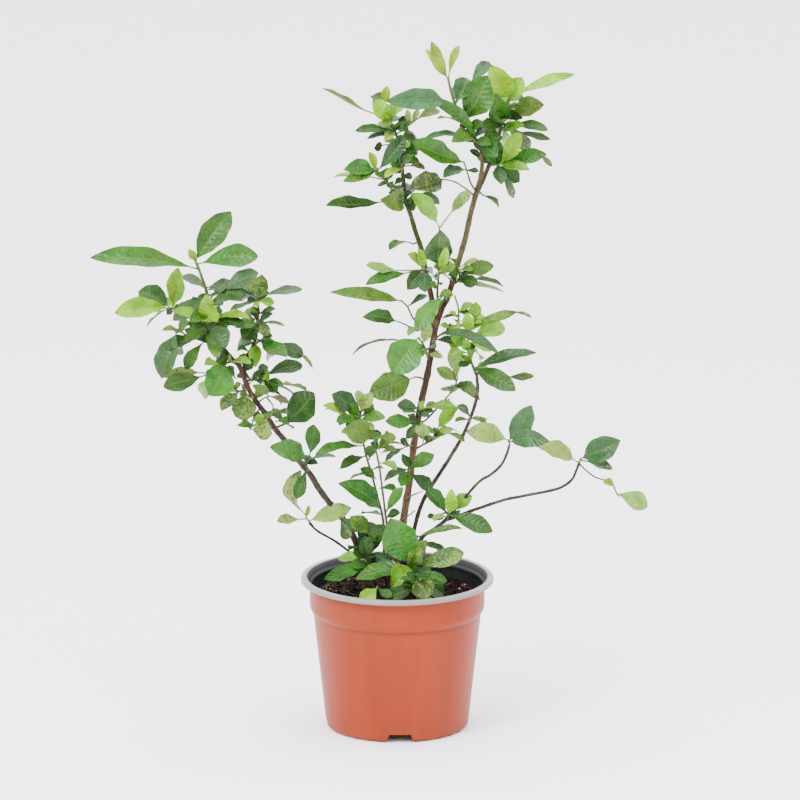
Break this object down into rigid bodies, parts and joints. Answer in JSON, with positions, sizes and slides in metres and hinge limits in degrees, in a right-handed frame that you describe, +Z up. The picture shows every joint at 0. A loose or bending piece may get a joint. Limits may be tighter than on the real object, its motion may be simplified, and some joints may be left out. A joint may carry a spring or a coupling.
{
  "type": "potted gardenia",
  "caption": "Young gardenia shrub with glossy variegated leaves on woody stems, standing in a thin terracotta nursery pot with a pale rim",
  "frame": {"origin": "middle of the pot's foot, on the plane that it stands on", "axes": "+Z up along the pot's axis, -Y to the front, +X to the right as seen from the front"},
  "size_m": [0.551, 0.2284, 0.7096],
  "materials": {
    "pot": "satin",
    "soil": "matte",
    "wood": "matte",
    "foliage": "satin"
  },
  "bodies": {
    "root": {"pot": "pot", "soil": "soil", "main_stem": "wood", "left_stem": "wood", "right_stem": "wood", "spray_stem": "wood", "low_left_stem": "wood", "left_top_shoot": "foliage", "left_outer_shoot": "foliage", "left_centre_shoot": "foliage", "left_fork_head": "foliage", "left_fork_shoot": "foliage", "left_right_shoot": "foliage", "left_elbow_shoot": "foliage", "left_dark_leaf_shoot": "foliage", "left_inner_twig": "foliage", "left_low_twigs": "foliage", "left_round_leaves": "foliage", "left_spotted_leaves": "foliage", "left_marbled_twig": "foliage", "left_mid_shoot": "foliage", "left_foot_shoot": "foliage", "low_left_leaves": "foliage", "middle_stem_left": "foliage", "middle_stem_right": "foliage", "low_trunk_leaves": "foliage", "trunk_left_sprig": "foliage", "trunk_right_branch": "foliage", "trunk_node_leaves": "foliage", "trunk_low_node_leaves": "foliage", "trunk_twig_leaves": "foliage", "bright_broad_leaf": "foliage", "olive_broad_leaf": "foliage", "long_leaf_twig": "foliage", "glossy_front_leaf": "foliage", "right_cluster_shoot": "foliage", "right_long_leaves": "foliage", "centre_shoot": "foliage", "crown_stem_low_leaves": "foliage", "crown_stem_mid_leaves": "foliage", "crown_left_whorl": "foliage", "crown_back_leaf": "foliage", "crown_left_twig": "foliage", "crown_left_sprig": "foliage", "crown_left_head": "foliage", "crown_mid_shoot": "foliage", "crown_right_shoot": "foliage", "crown_right_low_leaves": "foliage", "crown_long_green_leaf": "foliage", "crown_foot_leaf": "foliage", "right_stem_head": "foliage", "right_stem_leaves": "foliage", "apex_shoot": "foliage", "spray_foot_leaf": "foliage", "upper_spray_leaves": "foliage", "lower_spray_leaves": "foliage", "basal_left_shoot": "foliage", "basal_centre_shoot": "foliage", "basal_front_shoot": "foliage", "basal_small_leaf": "foliage"}
  },
  "joints": []
}
